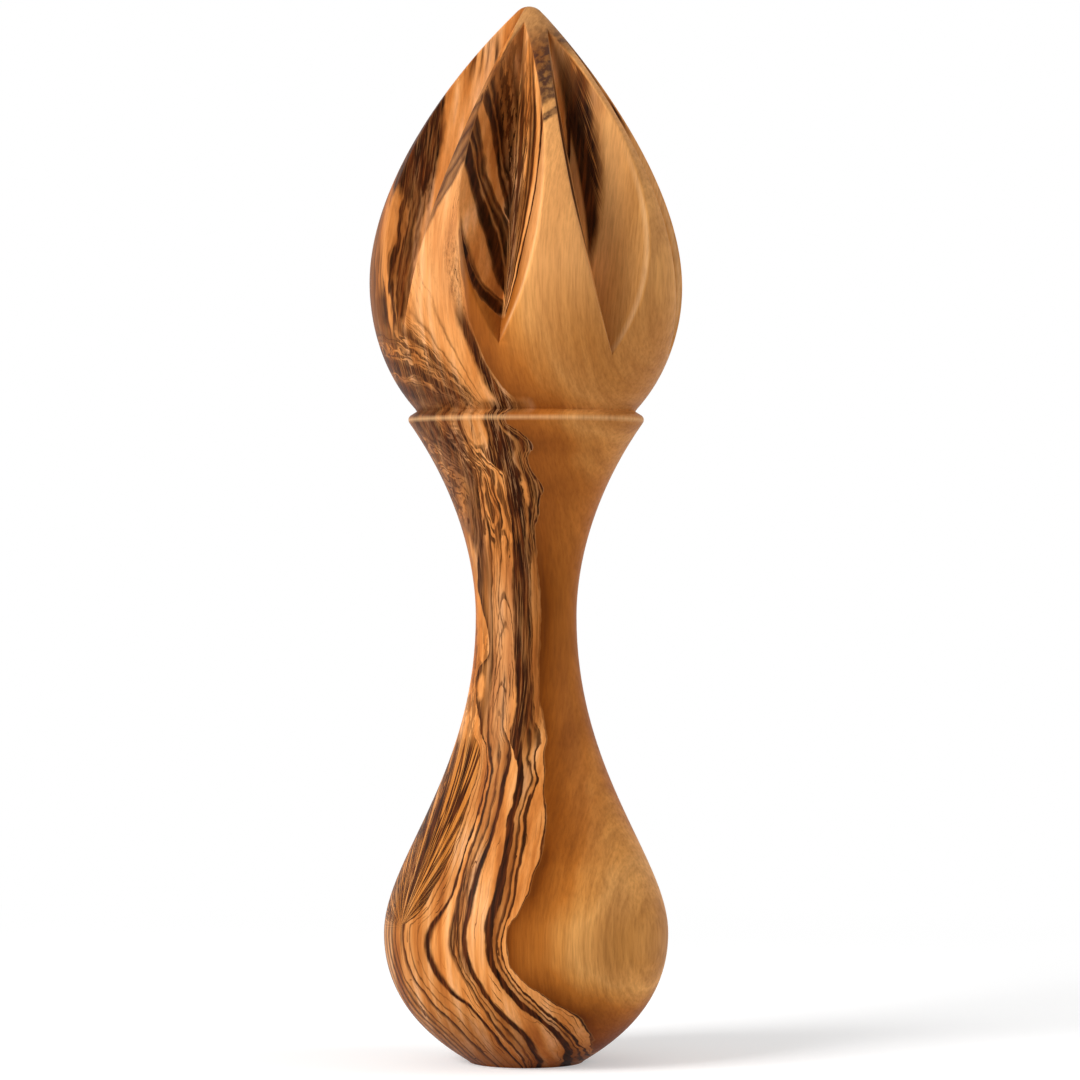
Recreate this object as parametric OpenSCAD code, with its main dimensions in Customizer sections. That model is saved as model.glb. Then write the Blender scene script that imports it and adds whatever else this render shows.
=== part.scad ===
/* [Head] */
// Height of the head, from the bottom of the groove to the tip
head_h = 61.4; // [52:0.1:72]
// Diameter across the fattest part of the egg-shaped head
head_d = 47.5; // [42:0.1:54]
// Height of that fattest part above the bottom of the groove
head_belly_h = 19.6; // [16:0.1:24]
// How tall the belly is drawn, upwards from the fattest part
head_belly_up = 13.3; // [8:0.1:17]
// How tall the belly is drawn, downwards from the fattest part
head_belly_down = 4.3; // [3:0.1:7]
// Radius of the small rounded nose at the tip
nose_r = 2.5; // [1.5:0.1:3.5]
// Angle of the flank just below the nose, from the upright, in degrees
point_angle = 45; // [40:1:50]
// How far down the flank keeps close to that angle
point_straight = 17.9; // [12:0.1:20]
// Angle at which the head rises out of the groove, from the upright, in degrees
head_root_angle = 43; // [36:1:50]
// How far up the head keeps close to that angle
head_root_straight = 9.3; // [5:0.1:11]

/* [Flutes] */
// Number of V-shaped flutes cut round the head
flute_count = 8; // [7:1:9]
// Half of the angle between the two walls of a flute, in degrees
flute_half_angle = 36.7; // [30:0.1:42]
// Radius of the V-edged cutting wheel, which makes the floor of a flute a shallow arc
wheel_r = 380; // [200:10:800]
// Height above the groove at which the pointed lower ends run out of the wood
flute_end_h = 8.6; // [7:0.1:14]
// Depth below the tip at which the next size is measured
flute_gauge_drop = 4; // [3:0.1:6]
// Distance from the axis to the floor of a flute at that depth
flute_gauge_r = 3.05; // [2.5:0.05:4]

/* [Groove and collar] */
// Diameter at the bottom of the V groove between the collar and the head
groove_d = 33; // [29:0.1:34]
// Height from the collar's widest line up to the bottom of the groove
groove_rise = 1.3; // [1.1:0.05:2.5]
// Largest diameter of the collar
collar_d = 35.7; // [35:0.1:40]
// Radius of the collar's softened edge
collar_edge_r = 0.8; // [0.4:0.05:1]
// Angle of the flare below that edge, from the upright, in degrees
flare_angle = 35; // [28:1:42]
// How far down the flare keeps close to that angle
flare_straight = 14.7; // [10:0.1:18]

/* [Grip] */
// Height from the foot to the collar's widest line
grip_h = 97.3; // [88:0.1:110]
// Diameter of the narrowest part of the grip
neck_d = 15.3; // [12:0.1:22]
// Height of the narrowest part above the foot
neck_h = 67.5; // [60:0.5:72]
// How long the grip stays slender above the narrowest part
neck_up = 6.2; // [3:0.1:9]
// How long the grip stays slender below the narrowest part
neck_down = 24.1; // [15:0.1:28]

/* [Bulb and foot] */
// Diameter of the swollen end that fills the palm
bulb_d = 43.1; // [36:0.1:50]
// Height of the fattest part of the bulb above the foot
bulb_h = 19.6; // [16:0.1:24]
// How tall the bulb is drawn, upwards from its fattest part
bulb_up = 11.1; // [6:0.1:14]
// How tall the bulb is drawn, downwards from its fattest part
bulb_down = 10.1; // [6:0.1:11]
// Diameter of the flat foot that the reamer stands on
foot_d = 17.1; // [14:0.1:24]
// Height and depth of the softened edge round the foot
foot_edge = 0.3; // [0.1:0.05:0.8]
// Angle at which the bulb leaves the foot, from the upright, in degrees
foot_angle = 59; // [50:1:65]
// How far up the bulb keeps close to that angle
foot_straight = 6.8; // [3:0.1:9]

/* [Hidden] */
// Straight steps in each long curve of the profile, and in each small arc
curve_steps = 14;
arc_steps = 4;
// Fineness of the turned surface and of the cutting wheel
turning_fn = 96;
wheel_fn = 480;
// How far past the flute's two ends the cut runs, in degrees of the wheel
wheel_overrun = 2;

// Stations of the profile from the foot to the tip, each [radius, height]
foot_corner = [foot_d / 2, 0];
foot_top = foot_corner + [foot_edge, foot_edge];
bulb_mid = [bulb_d / 2, bulb_h];
neck_mid = [neck_d / 2, neck_h];
edge_center = [collar_d / 2 - collar_edge_r, grip_h];
flare_top = edge_center + collar_edge_r * [cos(flare_angle), -sin(flare_angle)];
groove_root = [groove_d / 2, grip_h + groove_rise];
head_mid = [head_d / 2, groove_root[1] + head_belly_h];
tip_h = groove_root[1] + head_h;
nose_center = [0, tip_h - nose_r];
flank_top = nose_center + nose_r * [cos(point_angle), sin(point_angle)];

// The groove's lower wall touches the collar's softened edge at this angle round it
to_root = groove_root - edge_center;
wall_angle = atan2(to_root[1], to_root[0]) - acos(collar_edge_r / norm(to_root));

grip_profile = concat(
    [[0, 0], foot_corner],
    curve(foot_top, leaning(foot_angle, foot_straight), [0, -bulb_down], bulb_mid),
    curve(bulb_mid, [0, bulb_up], [0, -neck_down], neck_mid),
    curve(neck_mid, [0, neck_up], -leaning(flare_angle, flare_straight), flare_top),
    arc(edge_center, collar_edge_r, -flare_angle, wall_angle)
);
head_profile = concat(
    curve(groove_root, leaning(head_root_angle, head_root_straight), [0, -head_belly_down], head_mid),
    curve(head_mid, [0, head_belly_up], leaning(180 - point_angle, point_straight), flank_top),
    arc(nose_center, nose_r, point_angle, 90)
);

// The wheel's rim passes through the flute's lower end and its gauge point
flute_end = [radius_at(groove_root[1] + flute_end_h), groove_root[1] + flute_end_h];
flute_gauge = [flute_gauge_r, tip_h - flute_gauge_drop];
chord = flute_gauge - flute_end;
across_chord = [chord[1], -chord[0]] / norm(chord);
wheel_center = (flute_end + flute_gauge) / 2 + across_chord * sqrt(pow(wheel_r, 2) - pow(norm(chord) / 2, 2));
// The V is deep enough to come out of the wood all along the flute
flute_depth = 0.3 * head_d;

// A vector of the given length that leans outwards from the upright
function leaning(angle, length) = length * [sin(angle), cos(angle)];

// Bezier curve from a to b, leaving a along out and reaching b from b + back, without its last point
function curve(a, out, back, b) = [
    for (i = [0:curve_steps - 1])
        let (t = i / curve_steps, s = 1 - t)
            pow(s, 3) * a + 3 * s * s * t * (a + out) + 3 * s * t * t * (b + back) + pow(t, 3) * b
];

// Arc about a center, with both of its end points
function arc(center, r, from, to) = [
    for (i = [0:arc_steps])
        let (angle = from + (to - from) * i / arc_steps)
            center + r * [cos(angle), sin(angle)]
];

// Radius of the head at a height
function radius_at(height) = lookup(height, [for (p = head_profile) [p[1], p[0]]]);

// Angle round the wheel of a point on its rim, from straight down
function wheel_angle(p) = atan2(wheel_center[0] - p[0], wheel_center[1] - p[1]);

// The blank as it leaves the lathe: head, groove, collar, grip, bulb and foot in one profile
module turned_blank() {
    rotate_extrude($fn = turning_fn)
        polygon(concat(grip_profile, head_profile));
}

// What the V-edged wheel takes out in one pass, standing in front of the head
module flute_cut() {
    half_width = flute_depth * tan(flute_half_angle);
    start = wheel_angle(flute_end) - wheel_overrun;
    sweep = wheel_angle(flute_gauge) + wheel_overrun - start;
    translate([0, -wheel_center[0], wheel_center[1]])
        rotate([0, 90, 0])
            rotate([0, 0, start])
                rotate_extrude(angle = sweep, $fn = wheel_fn)
                    translate([wheel_r, 0])
                        polygon([[0, 0], [-flute_depth, half_width], [-flute_depth, -half_width]]);
}

// One piece of olive wood, fluted after turning
module reamer() {
    color("#B87A45")
        difference() {
            // The first flute faces -Y, so this turn keeps the seam of the turned surface on a rib
            rotate([0, 0, 180 / flute_count - 90])
                turned_blank();
            for (i = [0:flute_count - 1])
                rotate([0, 0, i * 360 / flute_count])
                    flute_cut();
        }
}

reamer();
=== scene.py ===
# %% [markdown]
# A wooden citrus reamer
# This lesson dresses one turned and fluted piece of olive wood. The frame holds the plain solid
# from the construction model, and everything made here keeps to its size and place. Blender works
# in metres, but the sizes below are written in millimetres, as a wood turner would note them.

# %% Load the frame
import math

import bpy
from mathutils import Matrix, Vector


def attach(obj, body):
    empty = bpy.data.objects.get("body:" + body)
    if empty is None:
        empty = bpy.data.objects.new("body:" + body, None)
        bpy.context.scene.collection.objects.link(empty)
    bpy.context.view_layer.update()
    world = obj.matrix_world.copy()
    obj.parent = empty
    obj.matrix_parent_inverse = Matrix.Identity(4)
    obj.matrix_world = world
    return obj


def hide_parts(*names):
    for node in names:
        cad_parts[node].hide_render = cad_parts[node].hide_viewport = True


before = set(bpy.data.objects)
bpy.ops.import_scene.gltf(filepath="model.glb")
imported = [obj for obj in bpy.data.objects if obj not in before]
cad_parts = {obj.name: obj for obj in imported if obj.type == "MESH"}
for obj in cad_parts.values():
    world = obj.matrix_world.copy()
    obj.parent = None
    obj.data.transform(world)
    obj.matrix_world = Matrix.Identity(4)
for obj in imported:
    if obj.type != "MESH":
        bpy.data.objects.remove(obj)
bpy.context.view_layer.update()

MM = 0.001

# %% [markdown]
# The profile
# On the lathe the whole outline is one smooth cut from foot to tip. The same outline is drawn here
# as Bezier curves, because their handles give long fair curves from very few points. Each station
# is a radius and a height, with the handles that lead into it and out of it. Where a handle is
# missing the line breaks, which is what makes a crisp corner at the groove and at the foot.

# %% Sizes of the turned blank
TIP_H = 160.0
NOSE_R = 2.5
POINT_ANGLE = 45.0
HEAD_R, HEAD_H = 23.75, 118.2
GROOVE_R, GROOVE_H = 16.5, 98.6
COLLAR_R, COLLAR_H, COLLAR_EDGE_R = 17.85, 97.3, 0.8
FLARE_ANGLE = 35.0
NECK_R, NECK_H = 7.65, 67.5
BULB_R, BULB_H = 21.55, 19.6
FOOT_R, FOOT_EDGE, FOOT_ANGLE = 8.55, 0.3, 59.0


def leaning(angle, length):
    """A step in the profile plane that leans outwards from the upright by an angle in degrees."""
    return Vector((math.sin(math.radians(angle)), math.cos(math.radians(angle)))) * length


def round_handle(radius, sweep):
    """Handle length that makes a Bezier piece follow an arc of this radius and sweep in degrees."""
    return radius * 4 / 3 * math.tan(math.radians(sweep) / 4)


print("blank:", TIP_H, "mm long and", 2 * HEAD_R, "mm across the head")

# %% Stations of the profile
edge_center = Vector((COLLAR_R - COLLAR_EDGE_R, COLLAR_H))
to_groove = Vector((GROOVE_R, GROOVE_H)) - edge_center
wall_angle = math.degrees(math.atan2(to_groove.y, to_groove.x) - math.acos(COLLAR_EDGE_R / to_groove.length))
edge_middle = (wall_angle - FLARE_ANGLE) / 2
edge_handle = round_handle(COLLAR_EDGE_R, (wall_angle + FLARE_ANGLE) / 2)
nose_handle = round_handle(NOSE_R, 90 - POINT_ANGLE)
flank_top = Vector((0, TIP_H - NOSE_R)) + leaning(90 - POINT_ANGLE, NOSE_R)
groove_root = Vector((GROOVE_R, GROOVE_H))
head_belly = Vector((HEAD_R, HEAD_H))
none = Vector((0, 0))
up = Vector((0, 1))


def on_edge(angle):
    """Point on the collar's softened edge, at an angle above the horizontal."""
    return edge_center + leaning(90 - angle, COLLAR_EDGE_R)


# Each station: point, handle in, handle out
grip_stations = [
    (Vector((0, 0)), none, none),
    (Vector((FOOT_R, 0)), none, none),
    (Vector((FOOT_R + FOOT_EDGE, FOOT_EDGE)), none, leaning(FOOT_ANGLE, 6.8)),
    (Vector((BULB_R, BULB_H)), up * -10.1, up * 11.1),
    (Vector((NECK_R, NECK_H)), up * -24.1, up * 6.2),
    (on_edge(-FLARE_ANGLE), leaning(FLARE_ANGLE, -14.7), leaning(FLARE_ANGLE, edge_handle)),
    (on_edge(edge_middle), leaning(-edge_middle, -edge_handle), leaning(-edge_middle, edge_handle)),
    (on_edge(wall_angle), leaning(-wall_angle, -edge_handle), none),
    (groove_root, none, none),
]
belly_stations = [
    (groove_root, none, leaning(43.0, 9.3)),
    (head_belly, up * -4.3, none),
]
point_stations = [
    (head_belly, none, up * 13.3),
    (flank_top, leaning(180 - POINT_ANGLE, 17.9), leaning(-POINT_ANGLE, nose_handle)),
    (Vector((0, TIP_H)), Vector((nose_handle, 0)), none),
]
print("profile stations:", len(grip_stations), "+", len(belly_stations), "+", len(point_stations))

# %% [markdown]
# Turning the blank
# The curves become rows of edges, and Spin carries them round the axis in small steps, just as the
# wood turns past the tool. The two ends lie on the axis, so their copies are merged into poles. The
# head gets closer points than the grip, because the flutes will need them.

# %% Draw the profile
FLUTES = 8
# Points round the wood from the middle of a rib to the floor of the next flute
RIB_POINTS, EDGE_POINTS, WALL_POINTS = 5, 4, 7
HALF = RIB_POINTS + EDGE_POINTS + WALL_POINTS
AROUND = FLUTES * 2 * HALF
# Points of the profile that lie closer than this, in mm, become one
CLOSEST = 0.12


def clear_selection():
    """Leave nothing selected, so that the next operator acts on the new piece alone."""
    if bpy.context.object and bpy.context.object.mode != "OBJECT":
        bpy.ops.object.mode_set(mode="OBJECT")
    bpy.ops.object.select_all(action="DESELECT")


def draw_profile(name, stations, points):
    """One stretch of the outline as a Bezier curve in the XZ plane, turned into mesh edges."""
    clear_selection()
    bpy.ops.curve.primitive_bezier_curve_add(location=(0, 0, 0))
    profile = bpy.context.object
    profile.name = name
    spline = profile.data.splines[0]
    spline.resolution_u = points
    spline.bezier_points.add(len(stations) - 2)
    for knot, (point, back, out) in zip(spline.bezier_points, stations):
        knot.handle_left_type = knot.handle_right_type = "FREE"
        for side, step in (("co", none), ("handle_left", back), ("handle_right", out)):
            place = (point + step) * MM
            setattr(knot, side, Vector((place.x, 0, place.y)))
    bpy.ops.object.convert(target="MESH")
    return bpy.context.object


def merge(distance):
    """Merge vertices that lie closer than a distance in millimetres, in edit mode."""
    bpy.ops.mesh.select_all(action="SELECT")
    bpy.ops.mesh.remove_doubles(threshold=distance * MM)
    bpy.ops.mesh.select_all(action="SELECT")


stretches = [
    draw_profile("grip", grip_stations, 36),
    draw_profile("belly", belly_stations, 50),
    draw_profile("point", point_stations, 95),
]
print("points along each stretch:", [len(stretch.data.vertices) for stretch in stretches])

# %% Join the stretches and spin them
clear_selection()
for stretch in stretches:
    stretch.select_set(True)
bpy.context.view_layer.objects.active = stretches[0]
bpy.ops.object.join()
reamer = bpy.context.object
reamer.name = "reamer_wood"
bpy.ops.object.mode_set(mode="EDIT")
merge(CLOSEST)
bpy.ops.mesh.spin(steps=AROUND, angle=2 * math.pi, center=(0, 0, 0), axis=(0, 0, 1))
merge(0.001)
bpy.ops.mesh.normals_make_consistent(inside=False)
bpy.ops.object.mode_set(mode="OBJECT")
print("turned blank:", len(reamer.data.polygons), "faces")

# %% [markdown]
# Carving the flutes
# Eight V-shaped flutes run from the tip down to pointed ends. A wheel with a V-shaped edge sinks
# each one in a single pass, so its floor is a very shallow arc. A Boolean with such a wheel gives
# the shape, but it leaves a ragged mesh, and a Bevel then tears the edges that sanding has eased.
# So the blank is carved point by point instead: on each ring of the head, the points slide round to
# the ribs, the eased edges and the walls that the wheel would leave. The work was guided by hand,
# so each pass leans and sinks a little differently, which the list below keeps.

# %% The passes of the wheel
WHEEL_R = 380.0
# Heights at which the floor of each flute is measured
LOW_H, HIGH_H = 108.0, 156.0
# Each pass: middle in degrees round the axis, floor radius low and high, half angle of the V
passes = [
    (-1.6, 22.0, 4.0, 40.8),
    (45.2, 20.8, 4.8, 42.4),
    (90.4, 21.2, 3.2, 36.8),
    (134.2, 20.7, 2.8, 35.6),
    (180.5, 21.4, 3.3, 37.2),
    (224.7, 20.8, 2.9, 36.0),
    (270.7, 21.3, 3.2, 37.5),
    (316.0, 24.3, 1.9, 38.3),
]
# Width of the sanded edge in mm, and the largest share of a rib and of a wall that it may take
EASE = 0.3
RIB_SHARE, WALL_SHARE = 0.3, 0.35
# How far round, and over how many mm of height, the rings even out past a flute's end
EVEN_SPAN = math.radians(14)
EVEN_OUT = 9.0
# Halvings that find the edge of a flute to far below a micrometre
HALVINGS = 40


class Flute:
    """One pass of the wheel, seen in the upright plane through its floor: across is the radius."""

    def __init__(self, middle, low_r, high_r, half_angle):
        self.middle = math.radians(middle)
        self.slope = math.tan(math.radians(half_angle))
        low, high = Vector((low_r, LOW_H)), Vector((high_r, HIGH_H))
        chord = high - low
        reach = math.sqrt(WHEEL_R**2 - (chord.length / 2) ** 2)
        self.center = (low + high) / 2 + Vector((chord.y, -chord.x)).normalized() * reach

    def floor(self, height):
        """Distance from the axis to the floor at a height."""
        return self.center.x - math.sqrt(WHEEL_R**2 - (height - self.center.y) ** 2)

    def wall(self, across, height):
        """Half width of the V at a distance from the axis and a height."""
        return (WHEEL_R - math.hypot(self.center.x - across, self.center.y - height)) * self.slope

    def half_span(self, radius, height):
        """Angle from the middle to the edge, where the wall meets the turned surface."""
        inner, outer = 0.0, math.pi / 4
        for _ in range(HALVINGS):
            trial = (inner + outer) / 2
            if radius * math.sin(trial) < self.wall(radius * math.cos(trial), height):
                inner = trial
            else:
                outer = trial
        return inner


flutes = [Flute(*one_pass) for one_pass in passes]
print("floors in mm from the axis:", [(round(f.floor(LOW_H), 1), round(f.floor(HIGH_H), 1)) for f in flutes])

# %% Where each flute starts and ends
step = 2 * math.pi / AROUND
rings = {}
for vertex in reamer.data.vertices:
    x, y, z = vertex.co / MM
    radius = math.hypot(x, y)
    if z > GROOVE_H + 0.01 and radius > 0.01:
        rings.setdefault(round(z, 4), []).append((round(math.atan2(x, -y) / step) % AROUND, radius, vertex))
heights = sorted(rings)
for flute in flutes:
    cut = [h for h in heights if flute.floor(h) < rings[h][0][1]]
    flute.low, flute.high = cut[0], cut[-1]
print("flute ends in mm:", [(round(f.low, 1), round(f.high, 1)) for f in flutes])

# %% Points of one ring
# The tip leans a little to the right of the photograph, as hand work does
VIEW_TURN = math.radians(8.6)
LEAN = 0.45
view_right = Vector((math.cos(VIEW_TURN), math.sin(VIEW_TURN)))


def smooth_step(x):
    """Rise from 0 to 1 without a corner at either end."""
    x = min(max(x, 0.0), 1.0)
    return x * x * (3 - 2 * x)


def span_of(flute, radius, height):
    """Half span of a flute, or past its ends the span that its points even out to."""
    past = max(flute.low - height, height - flute.high)
    if past <= 0:
        return flute.half_span(radius, height)
    return EVEN_SPAN * smooth_step(past / EVEN_OUT)


def half_ring(flute, radius, height, span, room):
    """Points from the middle of a rib to the floor, as offsets across the flute and out from the axis."""
    cut = flute.low <= height <= flute.high
    ease = min(EASE / radius, RIB_SHARE * room, WALL_SHARE * span)
    on_wood = lambda a: Vector((radius * math.sin(a), radius * math.cos(a)))
    edge = on_wood(span)
    floor = flute.floor(height)

    def on_wall(share):
        """Point on the wall, from the edge at 0 to the floor at 1, or on the wood past the ends."""
        if not cut:
            return on_wood(span * (1 - share))
        across = edge.y + (floor - edge.y) * share
        return Vector((flute.wall(across, height), across))

    points = [on_wood(span + room - (room - ease) * k / RIB_POINTS) for k in range(RIB_POINTS)]
    eased_share = min(EASE / max((edge - on_wall(1)).length, 0.001), WALL_SHARE)
    start, end = on_wood(span + ease), on_wall(eased_share)
    for k in range(EDGE_POINTS + 1):
        t = k / EDGE_POINTS
        points.append(start * (1 - t) ** 2 + edge * 2 * t * (1 - t) + end * t * t)
    for k in range(1, WALL_POINTS + 1):
        points.append(on_wall(eased_share + (1 - eased_share) * k / WALL_POINTS))
    return points


print("points on each ring:", AROUND)

# %% Slide the points of each ring
for height in heights:
    radius = rings[height][0][1]
    spans = [span_of(flute, radius, height) for flute in flutes]
    halves = []
    for i, flute in enumerate(flutes):
        for side in (-1, 1):
            other = (i + side) % FLUTES
            gap = side * (flutes[other].middle - flute.middle) % (2 * math.pi)
            room = (gap - spans[i] - spans[other]) / 2
            halves.append(half_ring(flute, radius, height, spans[i], room))
    lean = view_right * LEAN * max(0, (height - HEAD_H) / (TIP_H - HEAD_H)) ** 2
    for place, _, vertex in rings[height]:
        i = round(place / (2 * HALF)) % FLUTES
        offset = (place - i * 2 * HALF + AROUND // 2) % AROUND - AROUND // 2
        side = 1 if offset > 0 else -1
        sideways, outwards = halves[2 * i + (side > 0)][HALF - abs(offset)]
        turn = flutes[i].middle
        sideways *= side
        x = outwards * math.sin(turn) + sideways * math.cos(turn)
        y = -outwards * math.cos(turn) + sideways * math.sin(turn)
        vertex.co = Vector((x + lean.x, y + lean.y, height)) * MM
tip = max(reamer.data.vertices, key=lambda v: v.co.z)
tip.co = Vector((view_right.x * LEAN, view_right.y * LEAN, TIP_H)) * MM
print("rings carved:", len(heights))

# %% Close the carved mesh
clear_selection()
reamer.select_set(True)
bpy.context.view_layer.objects.active = reamer
bpy.ops.object.mode_set(mode="EDIT")
merge(0.02)
bpy.ops.mesh.normals_make_consistent(inside=False)
bpy.ops.object.mode_set(mode="OBJECT")
bpy.ops.object.shade_smooth_by_angle(angle=math.radians(30))
print("fluted:", len(reamer.data.polygons), "faces")

# %% [markdown]
# Oiled olive wood
# The reamer is seasoned olive wood, oiled and rubbed to a satin sheen. Olive grows slowly and
# unevenly, so honey-coloured layers lie beside brown and nearly black ones. A picture could be
# wrapped round the shape, but real figure goes through the whole block, and every cut shows another
# slice of it. So the figure is built here in space, from nodes, and the turned profile, the groove
# and the flutes cut through it by themselves.

# %% Adding nodes
olive_wood = bpy.data.materials.new("oiled_olive_wood")
olive_wood.use_nodes = True
tree = olive_wood.node_tree
tree.nodes.clear()


def linear(code):
    """An sRGB hex colour as the linear values that Blender works in."""
    parts = [int(code[i : i + 2], 16) / 255 for i in (1, 3, 5)]
    return [v / 12.92 if v <= 0.04045 else ((v + 0.055) / 1.055) ** 2.4 for v in parts] + [1.0]


def add(kind, *values, **settings):
    """Add a node, set it up, fill or link its inputs in order, and return its first output, if any."""
    kind, _, operation = kind.partition(" ")
    node = tree.nodes.new("ShaderNode" + kind)
    if operation:
        node.operation = operation
    for name, choice in settings.items():
        setattr(node, name, choice)
    for socket, value in zip([s for s in node.inputs if s.enabled], values):
        if isinstance(value, bpy.types.NodeSocket):
            tree.links.new(value, socket)
        elif value is not None:
            socket.default_value = linear(value) if isinstance(value, str) else value
    return next((s for s in node.outputs if s.enabled), None)


def tell(piece):
    """Print how many nodes the wood has after a piece of its figure."""
    print(piece + ":", len(tree.nodes), "nodes so far")


tell("Empty material")

# %% [markdown]
# Which way the growth layers stand
# In the photograph the lines slide to the right wherever the wood gets thinner, and they zigzag in
# the groove. That happens when the layers stand upright and face about 66 degrees to the right of
# the camera. A Mapping node turns the block that way and counts in millimetres: X goes across the
# layers, Y along them into the wood, and Z is the height.

# %% Layer coordinates
LAYER_FACING = math.radians(66)
position = add("TexCoord").node.outputs["Object"]
turn = (0, 0, math.pi / 2 - LAYER_FACING - VIEW_TURN)
block = add("Mapping", position, None, turn, (1 / MM, 1 / MM, 1 / MM))
across, depth, height = add("SeparateXYZ", block).node.outputs
print("Growth layers face", round(math.degrees(LAYER_FACING)), "degrees to the right of the camera")

# %% [markdown]
# Pattern makers
# A few small recipes are used again and again: noise drawn out like grain, a sideways wobble, a
# stretch of height with soft ends, and a row of shades. Growth lines have one sharp side and one
# that fades, because a tree stops growing slowly and starts again suddenly.

# %% Recipes
def grain(size, detail=2.0, seed=(0, 0, 0), roughness=0.5):
    """Noise from 0 to 1 with blobs of this size in mm: across the layers, into them and upwards."""
    stretched = add("Mapping", block, seed, None, [1 / length for length in size])
    return add("TexNoise", stretched, 1.0, detail, roughness)


def wobble(size, reach, seed, detail=2.0):
    """A shift of up to reach mm to either side that changes over the given size."""
    return add("MapRange", grain(size, detail, seed), 0.0, 1.0, -reach, reach)


# A height above the tip, for what has no upper end
PAST_TIP = 200


def between(low, high, soft=2.0):
    """1 between two heights and 0 elsewhere, with soft ends."""
    entry = add("MapRange", height, low - soft, low + soft, 0.0, 1.0)
    return add("Math MULTIPLY", entry, add("MapRange", height, high - soft, high + soft, 1.0, 0.0))


# The most shades that a colour ramp holds
RAMP_STOPS = 32


def shades(value, stops):
    """Grey shades or colours at places along a value. More than one ramp can hold take two."""
    if len(stops) > RAMP_STOPS:
        last = RAMP_STOPS - 1
        more = add("Math GREATER_THAN", value, stops[last][0])
        return add("Mix", more, shades(value, stops[: last + 1]), shades(value, stops[last:]))
    low, high = stops[0][0], stops[-1][0]
    node = add("ValToRGB", add("MapRange", value, low, high, 0.0, 1.0)).node
    while len(node.color_ramp.elements) < len(stops):
        node.color_ramp.elements.new(0.5)
    for element, (place, shade) in zip(node.color_ramp.elements, stops):
        element.position = (place - low) / (high - low)
        element.color = linear(shade) if isinstance(shade, str) else (shade, shade, shade, 1)
    return node.outputs[0]


def growth(value, core=0.06, halo=0.3, halo_shade=0.35):
    """Growth lines, one for each whole number of a value: sharp on one side, fading on the other."""
    stops = [
        (0, 1.0), (core, 0.9), (core * 1.6, halo_shade), (halo, 0.08), (0.5, 0.0), (0.95, 0.0), (1, 1.0),
    ]
    return shades(add("Math FRACT", value), stops)


print("A ramp holds", RAMP_STOPS, "shades")

# %% [markdown]
# Drawn lines
# The eye knows olive wood by the course of its main veins, so these are drawn as lines along the
# height, as a wood grainer would lay them in with a brush. One curve node holds three such lines.

# %% Drawing lines
REACH = 25.0
level = add("MapRange", height, 0.0, TIP_H, -1.0, 1.0)
level = add("CombineXYZ", level, level, level)


def drawn(*paths):
    """Up to three lines drawn over the height, each as {height: place} in mm, from -25 to 25."""
    node = add("VectorCurve", 1.0, level).node
    for line, path in zip(node.mapping.curves, paths):
        marks = [(2 * h / TIP_H - 1, place / REACH) for h, place in sorted(path.items())]
        line.points[0].location, line.points[1].location = marks[0], marks[-1]
        for mark in marks[1:-1]:
            line.points.new(*mark)
        for point in line.points:
            point.handle_type = "AUTO_CLAMPED"
    node.mapping.update()
    places = add("VectorMath MULTIPLY", node.outputs[0], (REACH, REACH, REACH))
    return add("SeparateXYZ", places).node.outputs


def in_threes(paths):
    """Any number of lines, drawn three to a node."""
    return [line for k in range(0, len(paths), 3) for line in drawn(*paths[k : k + 3])]


turned_radius = {h: rings[h][0][1] for h in heights[::6]}
restless_path = {
    0: 0.3, 32: 0.25, 46: 0.35, 53: 0.4, 60: 0.16, 72: 0.14, 80: 0.25, 88: 0.32, 96: 0.32, 102: 0.3,
    160: 0.4,
}
rib_middle_path = {106: 14.5, 112: 14.5, 122: 13.5, 132: 11.4, 140: 9.2, 147: 7.3, 156: 4.2, 160: 1.5}
restless, turned, rib_middle = drawn(restless_path, turned_radius, rib_middle_path)
wander = add("Math ADD", wobble((5, 12, 16), 1.1, (0, 0, 0), 1.0), wobble((1.6, 5, 5), 1.3, (7, 3, 5)))
wander = add("Math MULTIPLY_ADD", wander, restless, wobble((0.5, 3, 2.2), 0.25, (1, 9, 2)))
layer = add("Math ADD", across, wander)
print("Turned outline drawn with", len(turned_radius), "points")

# %% [markdown]
# The main veins
# Nine edges part the light layers from the dark ones. They could be traced in paint on the
# surface, but paint knows nothing of the wood below it, and the flutes would cut into blank stuff.
# So each edge is one line drawn through the whole block. count_between then turns the nine lines
# into a single number that grows by one from line to line, and every later shade only asks for
# that number.

# %% Counting from line to line
def count_between(place, lines):
    """Goes up by 1 from each line to the next one on its left."""
    total = 0.0
    for right, left in zip(lines, lines[1:]):
        left = add("Math MINIMUM", left, add("Math SUBTRACT", right, 0.05))
        total = add("Math ADD", total, add("MapRange", place, right, left, 0.0, 1.0))
    return total


tell("Counting")

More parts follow.
